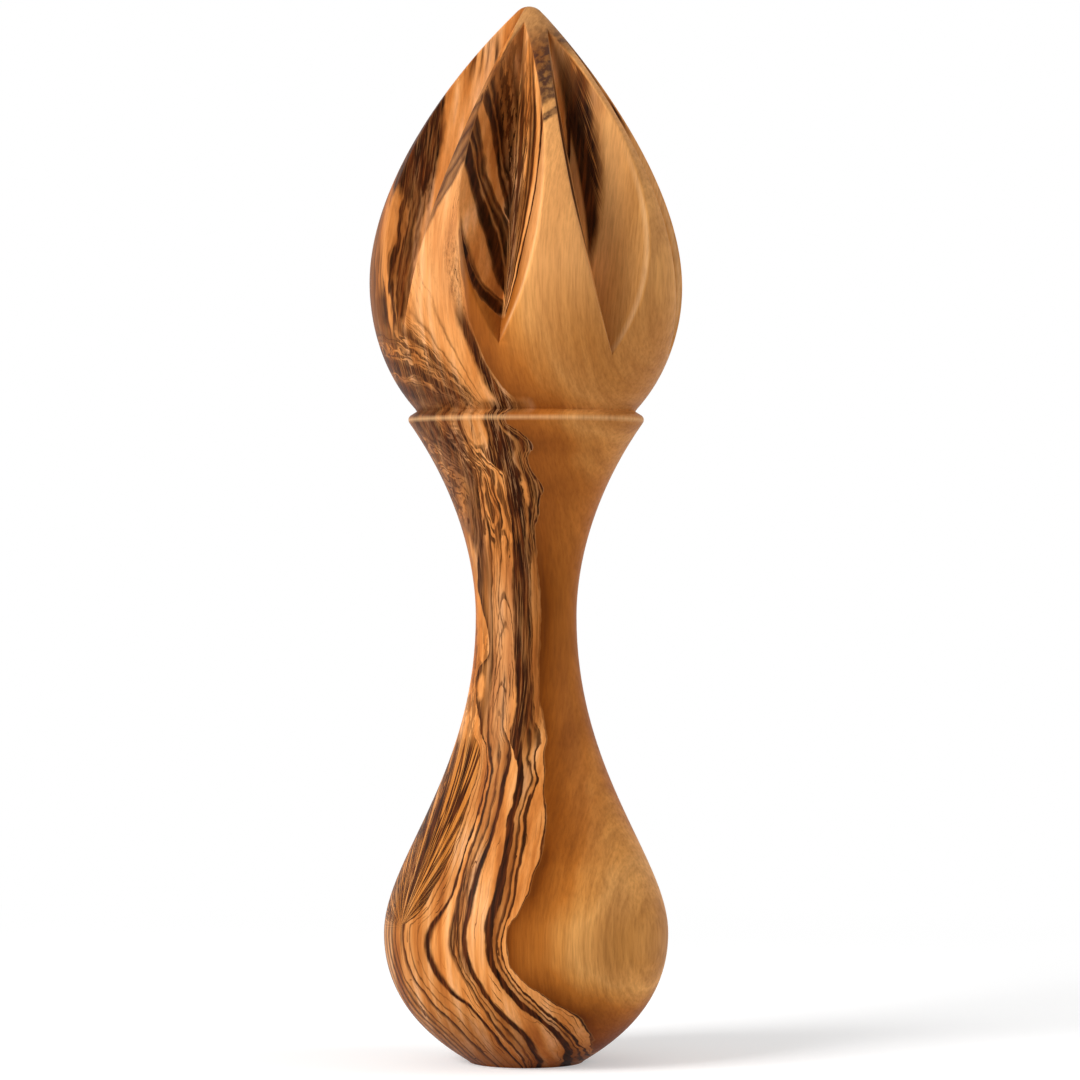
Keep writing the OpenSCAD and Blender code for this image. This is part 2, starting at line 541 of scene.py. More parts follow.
# %% The nine edges, from right to left
edge_paths = [
    {
        0: 10.0, 2: 11.5, 3.5: 12.7, 5: 13.7, 7: 14.1, 8.5: 13.9, 9.5: 13.2, 10.5: 12.0, 12.5: 10.0,
        14: 8.4, 15.5: 7.2, 17: 6.3, 20: 6.1, 22.5: 6.4, 23.6: 7.1, 26: 8.2, 27.5: 8.7, 30: 8.7, 31.5: 9.1,
        34: 9.2, 37: 8.9, 40: 8.2, 42: 7.6, 45: 7.2, 47.5: 6.9, 50: 6.7, 53: 5.8, 57: 5.1, 63: 4.9, 70: 4.9,
        76: 4.8, 80: 5.0, 83: 5.8, 85: 6.4, 87: 7.1, 89: 6.5, 91: 6.1, 93: 7.2, 94.3: 6.6, 95.5: 5.3,
        96.8: 4.2, 98: 4.6, 99.3: 6.0, 101: 4.8, 104: 3.4, 108: 2.2, 112: 1.3, 116: 0.6, 120: 0.0,
        125: -0.4, 132: -0.6, 140: 0, 160: 0,
    },
    {
        0: 9.5, 2: 11.1, 4: 12.0, 6: 11.9, 8: 11.0, 10: 9.7, 12: 8.4, 13: 7.7, 15: 6.5, 17: 5.6, 20: 5.3,
        22.5: 5.8, 24: 6.2, 28: 6.4, 32: 6.4, 36: 6.2, 39: 5.9, 41.5: 6.2, 43: 6.5, 45: 5.9, 47: 5.6,
        48.5: 6.0, 50: 5.9, 52: 5.2, 55: 4.8, 60: 4.0, 65: 3.7, 70: 3.6, 75: 3.8, 80: 4.3, 85: 5.4, 88: 5.6,
        91: 5.2, 93: 6.0, 95: 4.6, 97: 3.6, 99: 5.0, 101: 4.2, 105: 2.7, 110: 1.4, 115: 0.3, 120: -0.3,
        125: -0.9, 132: -1.0, 140: -0.5, 160: -0.5,
    },
    {
        0: 7.5, 2: 9.2, 4: 10.3, 6: 10.1, 8: 9.0, 10: 7.4, 12: 6.0, 13: 5.3, 14.5: 4.6, 17: 3.4, 20: 3.0,
        22: 2.9, 25: 3.2, 27: 3.6, 33: 3.7, 36: 3.7, 38: 3.4, 40: 3.9, 44: 3.8, 47: 3.0, 49: 2.0, 50.5: 1.9,
        52: 2.6, 55: 2.6, 58: 2.1, 60: 1.9, 65: 1.6, 70: 1.6, 75: 1.9, 78: 2.1, 82: 2.2, 85: 2.0, 87: 2.3,
        88.6: 2.4, 90: 1.1, 91: 0.5, 92: 0.4, 93.5: 0.9, 95: 1.2, 97: 1.4, 98.6: 2.0, 100: 2.8, 102: 2.6,
        105: 1.6, 110: 0.3, 115: -1.2, 120: -1.7, 125: -2.0, 132: -2.0, 140: -1.0, 160: -1.0,
    },
    {
        0: 5.0, 2: 6.2, 5: 6.4, 7: 5.6, 8: 4.8, 10: 3.5, 12: 2.2, 13.5: 1.6, 15: 0.7, 17: 0.1, 20: -0.5,
        22: -0.4, 24: 0, 27: 0.2, 30: 0.5, 32.5: 1.0, 35: 1.6, 38: 1.9, 40: 1.8, 43: 1.9, 46: 2.2, 48: 2.2,
        50: 1.2, 52: 0.6, 60: 0.2, 65: -0.3, 70: -1.1, 74: -0.6, 77: -0.1, 80: 0.1, 82: 0.5, 84: 0.5,
        86: 0.1, 88: 0.1, 89: 0, 90: -0.6, 91: -1.4, 92: -2.1, 93.5: -2.5, 96: -3.2, 98: -3.0, 101: -1.0,
        103: -1.0, 105: -1.2, 107: -1.6, 110: -3, 112: -4, 115: -5, 118: -7, 125: -8, 160: -8,
    },
    {
        0: 3.6, 3: 4.0, 5: 3.2, 7: 2.5, 10: 1.5, 12: 0.8, 15: -0.9, 17: -1.9, 20: -2.7, 22: -2.5, 24: -2.2,
        27: -2.0, 30: -1.8, 33: -1.4, 36: -0.9, 40: -0.6, 44: -0.4, 47: -1.0, 50: -1.9, 55: -2.2, 65: -2.3,
        70: -2.4, 73: -2.1, 76: -1.9, 78: -1.8, 80: -1.7, 82: -1.9, 84: -2.1, 86: -2.2, 88: -2.1, 89: -2.0,
        90: -2.4, 92: -3.6, 95: -5, 98: -6, 101: -2.5, 105: -4, 110: -7, 115: -9, 125: -10, 160: -10,
    },
    {
        0: 3.2, 1: 3.1, 4: 2.4, 7: 1.6, 10: -0.4, 12: -3, 14: -4.7, 16: -6.0, 19: -6.9, 21: -6.6, 23: -5.4,
        24.5: -4.3, 26: -3.4, 28: -2.9, 30: -2.6, 33: -2.1, 36: -1.6, 40: -1.1, 44: -0.9, 48: -1.6, 50: -3,
        52: -3.6, 54: -4.4, 56: -5, 58: -5.3, 59.5: -5.0, 60.5: -4.2, 61.5: -3.1, 63: -2.8, 65: -3.0,
        66.5: -3.5, 68: -4.1, 70: -4.7, 72: -5.4, 74: -5.1, 76: -4.8, 78: -3.9, 80: -3.2, 82: -3.0,
        84: -2.8, 86: -2.7, 88: -2.7, 90: -3.4, 93: -5.5, 95: -7, 98: -8, 101: -3, 105: -6, 110: -9,
        115: -11, 125: -12, 160: -12,
    },
    {
        0: -0.6, 1: -1.2, 3: -2, 5: -3, 8: -5, 10: -7, 12: -8.6, 14: -10.4, 17: -11.7, 20: -12.3,
        21.5: -12.3, 22.5: -11, 23.5: -9.2, 25: -8, 27: -7, 31: -5.2, 35: -4.2, 39: -3.6, 42: -3.1,
        46: -2.6, 48: -3.0, 50: -4.5, 54: -5.5, 58: -6.3, 62: -5.8, 66: -6.2, 70: -6.6, 74: -7, 78: -6.0,
        82: -5, 86: -4.3, 88: -4.3, 90: -5, 93: -8, 95: -12, 98: -13, 101: -8, 105: -10, 110: -12, 115: -14,
        125: -15, 160: -15,
    },
    {
        0: -6, 5: -9, 10: -14, 15: -16, 20: -17, 30: -16, 40: -14, 50: -11, 60: -9, 75: -9, 90: -12,
        98: -15, 105: -17, 125: -18, 160: -18,
    },
    {0: -12, 10: -20, 20: -22, 40: -18, 60: -13, 90: -16, 98: -18, 125: -22, 160: -22},
]
print("points that draw the edges:", sum(len(path) for path in edge_paths))

# %% The main veins
edges = in_threes(edge_paths)
count = count_between(layer, edges)
past = add("Math SUBTRACT", layer, edges[0])
figured = add("MapRange", past, 0.12, -0.08, 0.0, 1.0)
tell("The main veins")

# %% [markdown]
# Veins of the bulb
# On the bulb, broad honey-coloured bands lie between dark veins. A repeating wave would make them
# all alike. A list of shades along the count sets each band wide or narrow, and each vein hard or
# soft, one by one. Smoke stands for the grey-brown haze beside the widest vein.

# %% Veins of the bulb
bulb_veins = shades(count, [
    (0.0, 1.0), (0.07, 0.85), (0.12, 0.05), (0.2, 0.0), (0.82, 0.0), (0.9, 0.9), (1.03, 0.9), (1.08, 0.3),
    (1.18, 0.25), (1.25, 0.9), (1.33, 0.7), (1.38, 0.4), (1.54, 0.45), (1.6, 0.95), (1.93, 1.0), (2.0, 0.8),
    (2.04, 0.25), (2.2, 0.03), (2.75, 0.05), (2.87, 0.9), (3.08, 1.0), (3.16, 0.5), (3.4, 0.3), (3.5, 0.85),
    (3.62, 0.4), (3.8, 0.35), (3.89, 0.95), (4.04, 0.6), (4.14, 0.1), (4.68, 0.0), (4.83, 0.7), (4.92, 1.0),
    (5.02, 1.0), (5.1, 0.3),
])
left_lines = shades(count, [
    (5, 0), (5.3, 0.03), (5.38, 0.6), (5.44, 0.15), (5.62, 0.05), (5.7, 0.75), (5.77, 0.2), (5.9, 0.1),
    (5.97, 0.95), (6.06, 0.6), (6.16, 0.15), (6.34, 0.1), (6.4, 0.8), (6.48, 0.3), (6.62, 0.8), (6.72, 0.3),
    (6.86, 0.85), (6.95, 0.3), (7.1, 0.7), (7.2, 0.3), (7.4, 0.8), (7.5, 0.4), (8, 0.4),
])
bulb_veins = add("Math MAXIMUM", bulb_veins, left_lines)
low_left = add("Math MULTIPLY", add("MapRange", height, 17.0, 8.0, 0.0, 0.45), shades(count, [
    (4.9, 0.0), (5.3, 0.8), (8.0, 1.0),
]))
bulb_veins = add("Math MAXIMUM", bulb_veins, low_left)
smoke = add("MapRange", grain((0.45, 4, 9), 3.0, (3, 3, 1), 0.6), 0.38, 0.56, 0.25, 1.0)
smoke_zone = add("Math MULTIPLY", between(14, 33, 4), shades(count, [
    (2.98, 0.0), (3.1, 0.9), (3.9, 0.85), (4.0, 0.0),
]))
bulb_veins = add("Math MAXIMUM", bulb_veins, add("Math MULTIPLY", smoke, smoke_zone))
tell("Veins of the bulb")

# %% [markdown]
# Veins of the grip and the head
# The grip is cut nearer to the middle of the same layers, where they lie closer together. It gets
# its own list of shades, and the flare under the collar another. A plain blend would end at one
# height like a painted line, so the change climbs and falls with a noise and leaves pointed
# tongues.

# %% Veins of the grip and the head
grip_veins = shades(count, [
    (0.0, 0.9), (0.06, 0.6), (0.14, 0.42), (0.4, 0.52), (0.72, 0.4), (0.85, 0.85), (1.0, 0.6), (1.08, 1.0),
    (1.2, 0.75), (1.3, 1.0), (1.4, 0.9), (1.48, 1.0), (2.0, 1.0), (2.1, 0.75), (2.2, 0.2), (2.4, 0.1),
    (2.55, 0.5), (2.62, 0.1), (2.9, 0.15), (2.98, 0.8), (3.08, 0.3), (3.28, 0.2), (3.36, 0.7), (3.44, 0.2),
    (3.6, 0.2), (3.68, 0.75), (3.76, 0.2), (3.95, 0.85), (4.1, 0.55), (4.5, 0.65), (4.85, 0.9), (5.0, 1.0),
    (5.06, 0.3), (5.3, 0.05), (8.0, 0.1),
])
collar_veins = shades(count, [
    (0.0, 1.0), (0.25, 0.9), (0.4, 0.5), (0.55, 0.9), (0.75, 0.6), (0.9, 0.95), (1.05, 0.95), (1.12, 0.6),
    (1.2, 0.5), (1.27, 0.9), (1.42, 0.95), (1.5, 1.0), (2.0, 1.0), (2.06, 0.7), (2.12, 0.15), (2.45, 0.05),
    (2.55, 0.4), (2.62, 0.1), (2.88, 0.1), (2.96, 0.9), (3.04, 0.9), (3.12, 0.25), (3.3, 0.05),
    (3.55, 0.05), (3.62, 0.3), (3.68, 0.05), (3.86, 0.1), (3.95, 0.9), (4.1, 0.9), (4.2, 0.4), (4.35, 0.08),
    (4.65, 0.1), (4.8, 0.7), (5.0, 0.95), (5.2, 0.8), (5.35, 0.5), (5.5, 0.85), (5.7, 0.6), (5.85, 0.85),
    (6.1, 0.5), (6.4, 0.2), (8.0, 0.2),
])
tongue = add("Math ADD", height, wobble((0.6, 4, 9), 6.0, (2, 7, 7)))
under_collar = add("MapRange", height, 97.5, 100.5, 1.0, 0.0)
under_collar = add("Math MULTIPLY", add("MapRange", tongue, 75.5, 79.5, 0.0, 1.0), under_collar)
grip_veins = add("Mix", under_collar, grip_veins, collar_veins)
rib_share = add("MapRange", height, 122.0, 127.0, 1.0, 0.0)
rib_speckle = add("MapRange", grain((0.28, 1, 0.8), 3.0, (5, 5, 5), 0.7), 0.35, 0.65, 0.15, 0.6)
rib_speckle = add("Math MULTIPLY", rib_share, rib_speckle)
rib_share = add("Mix", add("MapRange", height, 108.0, 114.0, 0.0, 1.0), rib_share, rib_speckle)
grip_veins = add("Math MULTIPLY", grip_veins, rib_share)
dark = add("Mix", add("MapRange", height, 47.0, 53.0, 0.0, 1.0), bulb_veins, grip_veins)
tell("Veins of the grip and the head")

# %% [markdown]
# Fine lines between the veins
# Faint growth lines about a millimetre apart run beside the main veins. The count times three
# gives lines that follow the veins without any new drawing. A slow noise lets them come and go,
# and the pale side of the head stays calm, as it is in the photograph.

# %% Fine lines between the veins
calm = wobble((3.0, 8, 24), 1.7, (3, 1, 8))
lines = growth(add("Math MULTIPLY_ADD", count, 3.1, calm))
presence = add("MapRange", grain((2, 6, 14), 1.0, (2, 6, 4)), 0.42, 0.62, 0.0, 0.9)
quiet_head = add("Math MULTIPLY", between(106, PAST_TIP, 3), shades(count, [
    (2.0, 0.0), (2.2, 1.0), (5, 1.0), (6, 0.3),
]))
presence = add("Math MULTIPLY", presence, add("Math SUBTRACT", 1.0, quiet_head))
dark = add("Math MAXIMUM", dark, add("Math MULTIPLY", lines, presence))
tell("Fine lines between the veins")

# %% [markdown]
# Fan
# At the left of the bulb a fan of rays opens from one point, where a twig once grew. Rays are easy
# to make from an angle and a distance: the angle counts across them and the distance runs along
# them, so a stretched noise opens like a fan. It fades towards the back, where such a figure would
# end in the layer behind.

# %% Fan
FAN_PLACE = (-12.8, 21.3)
fan_x = add("Math SUBTRACT", across, FAN_PLACE[0])
fan_z = add("Math SUBTRACT", height, FAN_PLACE[1])
fan_reach = add("VectorMath LENGTH", add("CombineXYZ", fan_x, fan_z, 0.0)).node.outputs["Value"]
fan_angle = add("Math MULTIPLY_ADD", fan_reach, -0.006, add("Math ARCTAN2", fan_z, fan_x))
rays = add("VectorMath MULTIPLY", add("CombineXYZ", fan_angle, fan_reach, depth), (17.0, 0.025, 0.08))
fan = shades(add("TexNoise", rays, 1.0, 2.0, 0.5), [
    (0.28, 0.3), (0.36, 0.05), (0.41, 0.1), (0.43, 0.9), (0.47, 1.0), (0.485, 0.5), (0.505, 0.15),
    (0.52, 0.95), (0.57, 0.95), (0.59, 0.4), (0.61, 0.9), (0.75, 1.0),
])
fan_mask = add("Math MULTIPLY", between(22.0, 49, 1.5), add("MapRange", count, 5.96, 6.04, 0.0, 1.0))
fan_mask = add("Math MULTIPLY", fan_mask, add("MapRange", depth, -2.0, 7.0, 1.0, 0.0))
dark = add("Mix", fan_mask, dark, fan)
tell("Fan")

# %% [markdown]
# Arches on the neck
# Where a cut just touches a bent layer, its lines close into tall pointed arches. Adding a square
# of the distance to the height bends level growth lines into that form, and a small wobble keeps
# them from looking drawn with a ruler.

# %% Arches on the neck
arch_off = add("Math ADD", layer, 0.1)
arch = add("Math MULTIPLY_ADD", add("Math MULTIPLY", arch_off, arch_off), 3.2, height)
arch = add("Math ADD", arch, wobble((1.5, 4, 3), 0.8, (2, 2, 9)))
arches = growth(add("Math DIVIDE", arch, 4.4), 0.14, 0.45, 0.45)
arch_mask = add("Math MULTIPLY", between(52, 74, 2), add("MapRange", arch, 73.5, 72.5, 0.0, 0.8))
arch_mask = add("Math MULTIPLY", arch_mask, shades(layer, [
    (-2.4, 0.0), (-1.9, 1.0), (1.6, 1.0), (2.0, 0.0),
]))
dark = add("Math MAXIMUM", dark, add("Math MULTIPLY", arches, arch_mask))
tell("Arches on the neck")

# %% [markdown]
# Long strands
# Near the collar the wood is restless and its lines run together in strands. Noise that is
# squeezed across a course and stretched along it gives such strands, and a list of shades cuts it
# into light and dark ones. The course is anything that grows across the strands, so one recipe
# serves for several places.

# %% Long strands
swirl = add("Math ADD", wobble((2.4, 6, 5), 3.4, (4, 8, 1)), wobble((0.9, 4, 1.5), 0.9, (9, 8, 1)))


def strands(course, size, stops):
    """Long wavy strands that follow a course, drawn as the height lines of a stretched noise."""
    place = add("VectorMath DIVIDE", add("CombineXYZ", course, across, depth), (*size, 1 / 0.15))
    return shades(add("TexNoise", place, 1.0, 2.0, 0.5), stops)


tell("Long strands")

# %% [markdown]
# Flames under the collar
# Long flames keep to the course of the veins around them. The count is used as the place across,
# with a slow rise along the height, so that the noise stretches into flames that bend with the
# veins.

# %% Flames under the collar
flame_place = add("Math ADD", count, wobble((2.0, 5, 5), 0.3, (8, 8, 2)))
flame_place = add("CombineXYZ", flame_place, height, depth)
flame_place = add("VectorMath MULTIPLY", flame_place, (1, 0.085, 0.1))
flames = shades(add("TexNoise", flame_place, 1.0, 1.5, 0.5), [
    (0.3, 0.9), (0.37, 0.8), (0.39, 0.1), (0.43, 0.05), (0.45, 0.9), (0.49, 0.95), (0.5, 0.15),
    (0.53, 0.05), (0.55, 0.95), (0.59, 0.85), (0.61, 0.1), (0.65, 0.1), (0.67, 0.95), (0.72, 0.9),
])
flame_zone = add("Math MULTIPLY", under_collar, shades(count, [
    (1.9, 0.0), (2.1, 0.85), (5.0, 0.85), (6.0, 0.4),
]))
flame_zone = add("Math MULTIPLY", flame_zone, add("MapRange", height, 92.5, 96.0, 1.0, 0.0))
dark = add("Math MAXIMUM", dark, add("Math MULTIPLY", flames, flame_zone))
tell("Flames under the collar")

# %% [markdown]
# Brown strands under the left of the collar
# To the left of the flames the strands lie slanting and are brown rather than black. Here the
# course is the height with a share of the place across, which lays them over. Lower down, short
# patches carry the same brown into the neck.

# %% Brown strands under the left of the collar
strand_course = add("Math MULTIPLY_ADD", swirl, 0.35, height)
strand_course = add("Math MULTIPLY_ADD", across, 0.35, strand_course)
patches = strands(strand_course, (2.6, 9.0), [
    (0.25, 0.3), (0.32, 0.9), (0.38, 0.8), (0.4, 0.2), (0.43, 0.1), (0.45, 0.85), (0.48, 0.9), (0.49, 0.3),
    (0.51, 0.2), (0.53, 0.95), (0.57, 0.8), (0.58, 0.2), (0.61, 0.3), (0.63, 0.95), (0.7, 0.6),
])
patch_zone = shades(count, [(2.9, 0.0), (3.2, 0.9), (5.0, 1.0), (8.0, 1.0)])
patch_rise = add("Math MULTIPLY_ADD", count, 2.6, height)
patch_zone = add("Math MULTIPLY", patch_zone, add("MapRange", patch_rise, 95.0, 101.0, 0.0, 1.0))
patch_zone = add("Math MULTIPLY", patch_zone, between(76, 98, 3))
patch_zone = add("Math MULTIPLY", patch_zone, add("MapRange", depth, 0.0, 10.0, 1.0, 0.35))
patches = add("Math MULTIPLY", patches, patch_zone)
low_patches = add("MapRange", grain((0.9, 5, 3.6), 3.0, (7, 1, 3), 0.6), 0.50, 0.55, 0.0, 0.75)
low_zone = add("Math MULTIPLY", between(47, 67, 3.5), shades(layer, [(-30, 1.0), (-3.0, 0.9), (-2.0, 0.0)]))
patches = add("Math MAXIMUM", patches, add("Math MULTIPLY", low_patches, low_zone))
dark = add("Math MAXIMUM", dark, add("Math MULTIPLY", patches, 0.8))
tell("Brown strands under the left of the collar")

# %% [markdown]
# Amber islands
# A few pale islands break the dark veins on the neck. They are too few for a noise, which would
# put them in the wrong places, so each is one oval, given one by one, with an edge that a noise
# has loosened.

# %% Amber islands
loose = add("CombineXYZ", add("Math ADD", across, wobble((0.9, 3, 1.2), 0.5, (2, 8, 8))), height, 0.0)


def island(place, size):
    """1 inside a small oval at a place across the layers and a height, with a soft rim."""
    squeezed = add("VectorMath DIVIDE", loose, (*size, 1.0))
    away = add("VectorMath DISTANCE", squeezed, (place[0] / size[0], place[1] / size[1], 0.0))
    return add("MapRange", away, 1.2, 0.6, 0.0, 1.0)


islands = add("Math MAXIMUM", island((-4.1, 57.0), (0.8, 2.0)), island((1.6, 54.3), (0.7, 1.3)))
islands = add("Math MAXIMUM", islands, island((0.35, 62.6), (0.85, 3.6)))
islands = add("Math MAXIMUM", islands, island((4.7, 86.5), (0.35, 2.2)))
dark = add("Math MULTIPLY", dark, add("MapRange", islands, 0.0, 1.0, 1.0, 0.1))
tell("Amber islands")

# %% [markdown]
# The lines under the left of the head
# Under the head the lines come in level from the left and all run together at the groove. Dividing
# the height above the groove by a share that shrinks towards it pulls level lines together like
# the strings of a bunch. Fine strands fill the dark part.

# %% The lines under the left of the head
run = add("Math EXPONENT", add("Math DIVIDE", add("Math SUBTRACT", across, 2.0), 9.0))
run = add("Math POWER", add("Math MAXIMUM", add("Math SUBTRACT", 1.0, run), 0.03), 1.3)
ripple = add("Math ADD", wobble((4, 8, 2.2), 1.3, (4, 8, 1)), wobble((1.2, 4, 0.9), 0.4, (4, 1, 1)))
sweep = add("Math DIVIDE", add("Math SUBTRACT", add("Math ADD", height, ripple), 97.0), run)
sweep_lines = shades(sweep, [
    (0, 0.8), (2, 0.9), (3.5, 0.6), (4.5, 0.9), (6, 0.85), (7.6, 0.6), (8.4, 0.2), (9.0, 0.85), (10.8, 0.9),
    (11.5, 0.7), (12.1, 0.1), (13.4, 0.1), (13.8, 0.7), (14.6, 0.3), (15.1, 0.9), (15.6, 0.5), (16.7, 0.3),
    (17.3, 0.45), (18.3, 0.85), (18.9, 0.8), (20.2, 0.3), (21, 0.05), (23.5, 0.05), (25.0, 0.65),
    (26.5, 0.25), (29, 0.05), (31, 0.1), (35, 0.05), (38, 0.6), (42, 0.1), (45, 0.0),
])
fine_sweep = strands(sweep, (2.4, 12.0), [
    (0.34, 0.0), (0.4, 0.95), (0.43, 0.1), (0.47, 0.1), (0.49, 0.95), (0.53, 0.9), (0.55, 0.1), (0.6, 0.95),
    (0.66, 0.8),
])
fine_sweep = add("Math MULTIPLY", fine_sweep, add("MapRange", sweep, 27.0, 20.0, 0.0, 0.85))
sweep_lines = add("Math MAXIMUM", sweep_lines, fine_sweep)
brown_base = add("MapRange", sweep, 23.0, 18.5, 0.0, 0.5)
brown_cloud = add("MapRange", grain((3, 6, 2), 2.0, (9, 3, 1)), 0.4, 0.6, 0.4, 1.0)
brown_base = add("Math MULTIPLY", brown_base, brown_cloud)
sweep_lines = add("Math MAXIMUM", sweep_lines, brown_base)
sweep_mask = add("Math MULTIPLY", between(98.2, 112.5, 2.8), shades(count, [(1.95, 0.0), (2.1, 1.0)]))
dark = add("Mix", sweep_mask, dark, sweep_lines)
tell("The lines under the left of the head")

# %% [markdown]
# The dark band that falls to the groove
# One broad dark band comes down between rib and flute and ends in the groove. The hollow of the
# groove gets a painted shade, laid on in the vein colour.
# Its middle is drawn as a line, and the distance from that line gives a soft band, which needs no
# edges of its own.

# %% The dark band that falls to the groove
fall_path = {
    98: 3.9, 100: 3.4, 102: 2.8, 104: 2.3, 106: 1.8, 108: 1.2, 110: 0.5, 112: -0.1, 116: -0.8, 124: -1.6,
}
falling = add("Math ADD", across, wobble((1.5, 4, 3), 0.5, (2, 6, 9)))
falling = add("Math ABSOLUTE", add("Math SUBTRACT", falling, drawn(fall_path)[0]))
falling = add("Math MULTIPLY", add("MapRange", falling, 1.3, 0.5, 0.0, 0.92), between(98.5, 113.5, 3.0))
# Painted shade: a dark band along the hollow of the groove under the head
groove_shade = add("Math MULTIPLY", between(98.0, 99.9, 0.5), shades(layer, [
    (-5.0, 0.0), (-2.0, 0.3), (2.4, 0.7), (6.0, 0.65), (8.5, 0.0),
]))
dark = add("Math MAXIMUM", dark, add("Math MAXIMUM", falling, groove_shade))
figured = add("Math MAXIMUM", figured, groove_shade)
tell("The dark band that falls to the groove")

# %% [markdown]
# Dark wood at the left of the head
# The left of the head is cut from the darkest wood: a nearly black field with honey-coloured
# strands below it. The strands are a list of shades along the place across, loosened by two
# wobbles. A wedge, one pale strand and the black field are laid over it with soft ends.

# %% Dark wood at the left of the head
left_place = add("Math ADD", across, wobble((1.5, 5, 6), 1.2, (8, 2, 2)))
left_place = add("Math ADD", left_place, wobble((0.4, 3, 3), 0.25, (8, 5, 2)))
left_dark = shades(left_place, [
    (-20, 0.65), (-19, 0.55), (-18, 0.75), (-17.6, 0.45), (-17, 0.7), (-16.6, 0.35), (-16, 0.75),
    (-15.6, 0.3), (-15.1, 0.1), (-14.9, 0.4), (-14.7, 0.95), (-14.2, 0.9), (-13.9, 0.5), (-13.6, 0.9),
    (-13.1, 0.95), (-12.9, 0.55), (-12.7, 0.5), (-12.4, 0.95), (-12.0, 0.7), (-11.6, 0.9), (-11.2, 0.6),
    (-10.8, 0.8), (-10.3, 0.25), (-9.8, 0.4), (-9.4, 0.1), (-8.5, 0.1),
])
wedge = add("Math MULTIPLY", between(123, 132, 2.5), shades(left_place, [
    (-17.4, 0.0), (-16.6, 1.0), (-14.2, 1.0), (-13.6, 0.0),
]))
left_dark = add("Math MULTIPLY", left_dark, add("Math SUBTRACT", 1.0, wedge))
black_top = add("Math ADD", height, wobble((1, 3, 4), 6.0, (6, 3, 2), 3.0))
black = add("MapRange", black_top, 127.0, 133.0, 0.0, 1.0)
black = add("Math MULTIPLY", black, add("MapRange", black_top, 145.0, 149.0, 1.0, 0.0))
black = add("Math MULTIPLY", black, shades(left_place, [
    (-17, 0.0), (-15.5, 0.9), (-13, 0.97), (-9.8, 0.97), (-9.2, 0.4), (-8.8, 0.0),
]))
left_dark = add("Math MAXIMUM", left_dark, black)
left_rim_path = {106: -10.4, 112: -10.4, 120: -9.3, 130: -8, 140: -6, 150: -3.6, 154: -2.4, 160: -0.5}
strand_path = {110: -13.6, 114: -13.9, 118: -14.3, 124: -15, 130: -15.8, 134: -16.5}
left_rim, strand = drawn(left_rim_path, strand_path)[:2]
strand = add("Math ABSOLUTE", add("Math SUBTRACT", left_place, strand))
strand = add("Math MULTIPLY", add("MapRange", strand, 0.5, 0.2, 0.0, 0.85), between(108, 133, 2))
low_dark = add("Math MULTIPLY", between(109, 117.5, 2.5), shades(left_place, [
    (-19.8, 0.0), (-18.5, 0.45), (-16.5, 0.75), (-14.8, 0.9), (-14.2, 0.3),
]))
left_dark = add("Math MAXIMUM", left_dark, low_dark)
left_dark = add("Math MULTIPLY", left_dark, add("Math SUBTRACT", 1.0, strand))
top_dark = add("MapRange", grain((0.5, 3, 9), 2.0, (3, 6, 2)), 0.4, 0.6, 0.15, 0.8)
left_dark = add("Math MAXIMUM", left_dark, add("Math MULTIPLY", top_dark, between(149, 155.5, 2.5)))
left_mask = add("MapRange", add("Math SUBTRACT", across, left_rim), 0.3, -0.3, 0.0, 1.0)
left_mask = add("Math MULTIPLY", left_mask, between(110.5, PAST_TIP, 2))
tell("Dark wood at the left of the head")

# %% [markdown]
# How deep the flutes have cut
# The walls of the flutes show wood that was hidden before they were cut, and the photograph shows
# other veins there. The radius of the turned shape is known at every height, so the difference to
# the real distance from the middle says how deep a point lies. The middle is moved with the small
# lean of the tip.

# %% How deep the flutes have cut
# The lean goes to the right of the picture, which is 24 degrees from X in layer coordinates
LEAN_ACROSS, LEAN_DEEP = 0.91 * LEAN, 0.41 * LEAN
rising = add("MapRange", height, HEAD_H, TIP_H, 0.0, 1.0)
rising = add("Math MULTIPLY", rising, rising)
rising = add("CombineXYZ", rising, rising, 0.0)
upright = add("VectorMath MULTIPLY_ADD", rising, (-LEAN_ACROSS, -LEAN_DEEP, 0), block)
from_axis = add("VectorMath LENGTH", add("VectorMath MULTIPLY", upright, (1, 1, 0))).node.outputs["Value"]
carved = add("Math SUBTRACT", turned, from_axis)
tell("How deep the flutes have cut")

# %% [markdown]
# Inside the first flute
# The flute that faces the viewer shows two honey-coloured bands between dark ones on its left
# wall, and fine upright lines on its right wall. Eight more lines are drawn for them. They lean a
# little with the depth, so that both walls meet in the floor in a point, as layers do in a real
# cut.

